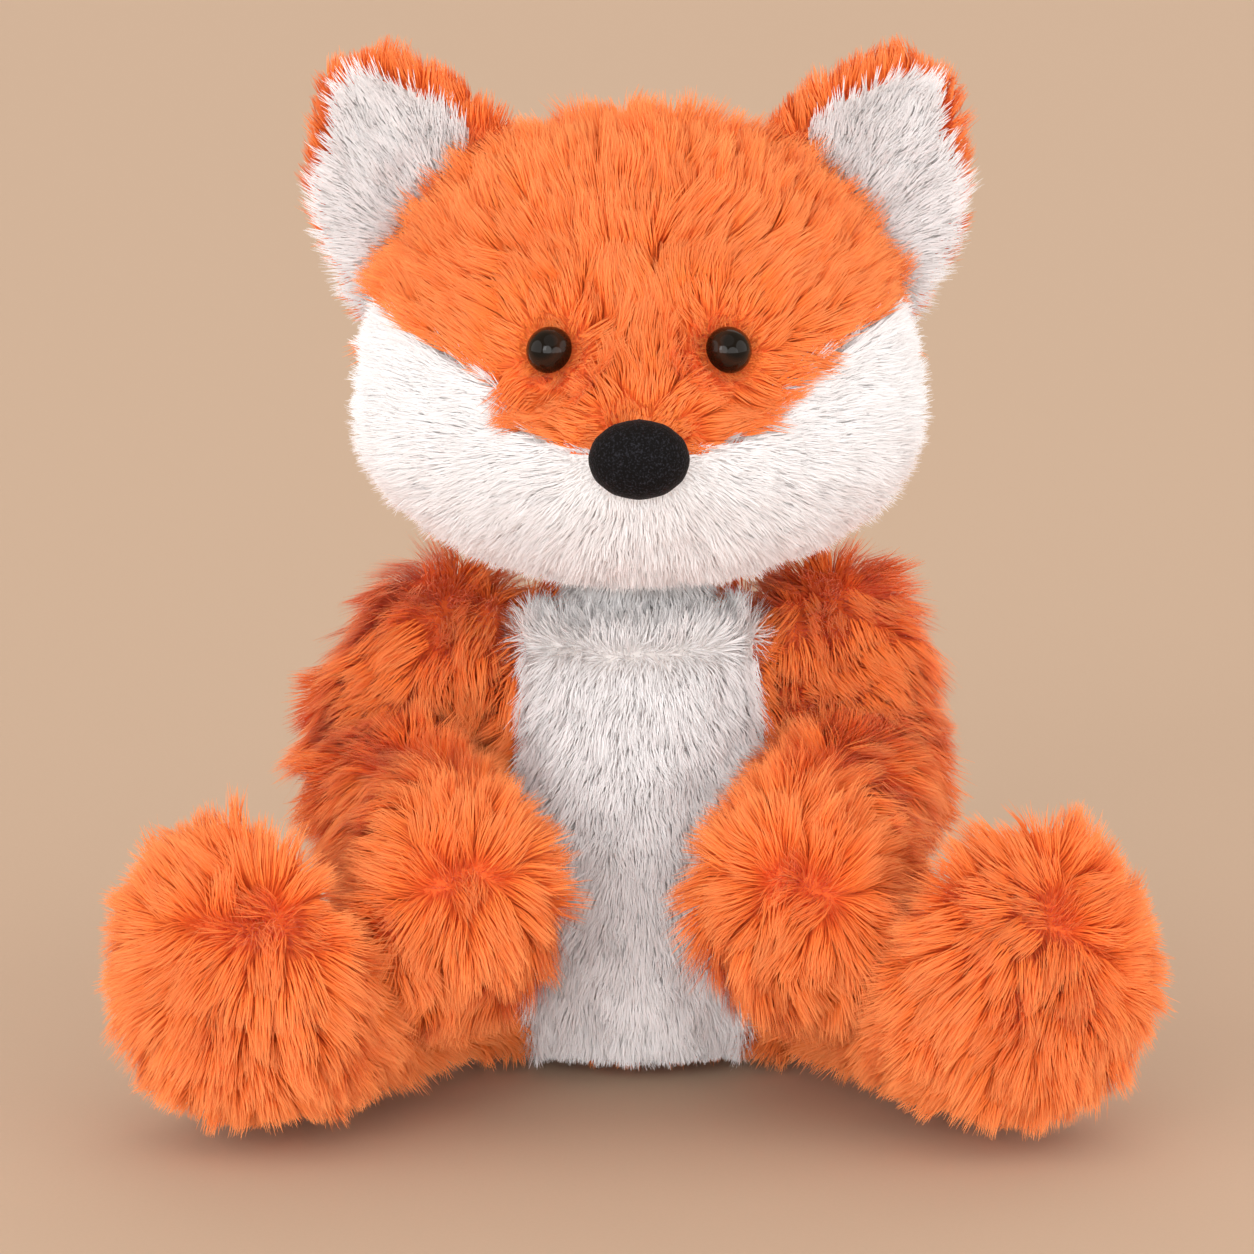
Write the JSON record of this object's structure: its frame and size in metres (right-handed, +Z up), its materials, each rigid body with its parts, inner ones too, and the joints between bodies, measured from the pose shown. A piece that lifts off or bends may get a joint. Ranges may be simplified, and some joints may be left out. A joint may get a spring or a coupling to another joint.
{
  "type": "plush fox",
  "caption": "Seated stuffed fox with a turning and nodding head, flexing ears, lifting arms, splaying legs and a swinging brush tail, sewn from long and short pile cloth.",
  "frame": {"origin": "centre of the flat seat under the torso", "axes": "+Z up, -Y the way the toy faces, +X the toy's own left"},
  "size_m": [0.2645, 0.2448, 0.2662],
  "materials": {
    "orange_plush": "long pile knitted plush, brushed into tufts",
    "white_plush": "short dense pile plush",
    "calico": "plain woven cotton bag",
    "fibre": "loose polyester fibre filling",
    "eye_black": "moulded, polished dome",
    "washer_plastic": "moulded",
    "nose_velour": "black velour"
  },
  "bodies": {
    "torso": {"torso_stuffing": "fibre", "belly_panel": "white_plush", "torso_back_panel": "orange_plush", "seat_panel": "orange_plush", "bean_pouch": "calico"},
    "neck": {"neck_stuffing": "fibre"},
    "head": {"head_stuffing": "fibre", "face_gusset_panel": "orange_plush", "cheek_panel": "white_plush", "head_back_panel": "orange_plush", "eye_left": "eye_black", "eye_right": "eye_black", "eye_washer_left": "washer_plastic", "eye_washer_right": "washer_plastic", "nose_cover": "nose_velour", "nose_stuffing": "fibre"},
    "ear_left": {"ear_back_left": "orange_plush", "ear_front_left": "white_plush"},
    "ear_right": {"ear_back_right": "orange_plush", "ear_front_right": "white_plush"},
    "arm_left": {"arm_outer_panel_left": "orange_plush", "arm_inner_panel_left": "orange_plush", "arm_stuffing_left": "fibre"},
    "arm_right": {"arm_outer_panel_right": "orange_plush", "arm_inner_panel_right": "orange_plush", "arm_stuffing_right": "fibre"},
    "leg_left": {"leg_outer_panel_left": "orange_plush", "leg_inner_panel_left": "orange_plush", "leg_stuffing_left": "fibre"},
    "leg_right": {"leg_outer_panel_right": "orange_plush", "leg_inner_panel_right": "orange_plush", "leg_stuffing_right": "fibre"},
    "tail": {"tail_base_panel": "orange_plush", "tail_tip_panel": "white_plush", "tail_stuffing": "fibre"}
  },
  "joints": [
    {"name": "head_turn", "type": "hinge", "parent": "torso", "child": "neck", "pos_m": [0, -0.004, 0.128], "axis": [0, 0, 1], "range_deg": [-25, 25], "stiffness_Nm_per_rad": 0.1},
    {"name": "head_nod", "type": "hinge", "parent": "neck", "child": "head", "pos_m": [0, -0.004, 0.128], "axis": [1, 0, 0], "range_deg": [-6, 6], "stiffness_Nm_per_rad": 0.6},
    {"name": "ear_flex_left", "type": "hinge", "parent": "head", "child": "ear_left", "pos_m": [0.04839, 0.004, 0.215], "axis": [0.8555, 0.2079, -0.4742], "range_deg": [-10, 10], "stiffness_Nm_per_rad": 0.02},
    {"name": "ear_flex_right", "type": "hinge", "parent": "head", "child": "ear_right", "pos_m": [-0.04839, 0.004, 0.215], "axis": [0.8555, -0.2079, 0.4742], "range_deg": [-10, 10], "stiffness_Nm_per_rad": 0.02},
    {"name": "arm_lift_left", "type": "hinge", "parent": "torso", "child": "arm_left", "pos_m": [0.05333, 0, 0.1125], "axis": [-1, 0, 0], "range_deg": [0, 35], "stiffness_Nm_per_rad": 0.02},
    {"name": "arm_lift_right", "type": "hinge", "parent": "torso", "child": "arm_right", "pos_m": [-0.05333, 0, 0.1125], "axis": [-1, 0, 0], "range_deg": [0, 35], "stiffness_Nm_per_rad": 0.02},
    {"name": "leg_splay_left", "type": "hinge", "parent": "torso", "child": "leg_left", "pos_m": [0.04387, -0.012, 0.021], "axis": [0, 0, 1], "range_deg": [0, 20], "stiffness_Nm_per_rad": 0.1},
    {"name": "leg_splay_right", "type": "hinge", "parent": "torso", "child": "leg_right", "pos_m": [-0.04387, -0.012, 0.021], "axis": [0, 0, -1], "range_deg": [0, 20], "stiffness_Nm_per_rad": 0.1},
    {"name": "tail_swing", "type": "hinge", "parent": "torso", "child": "tail", "pos_m": [0, 0.04002, 0.03], "axis": [0, 0, 1], "range_deg": [-25, 25], "stiffness_Nm_per_rad": 0.05}
  ]
}
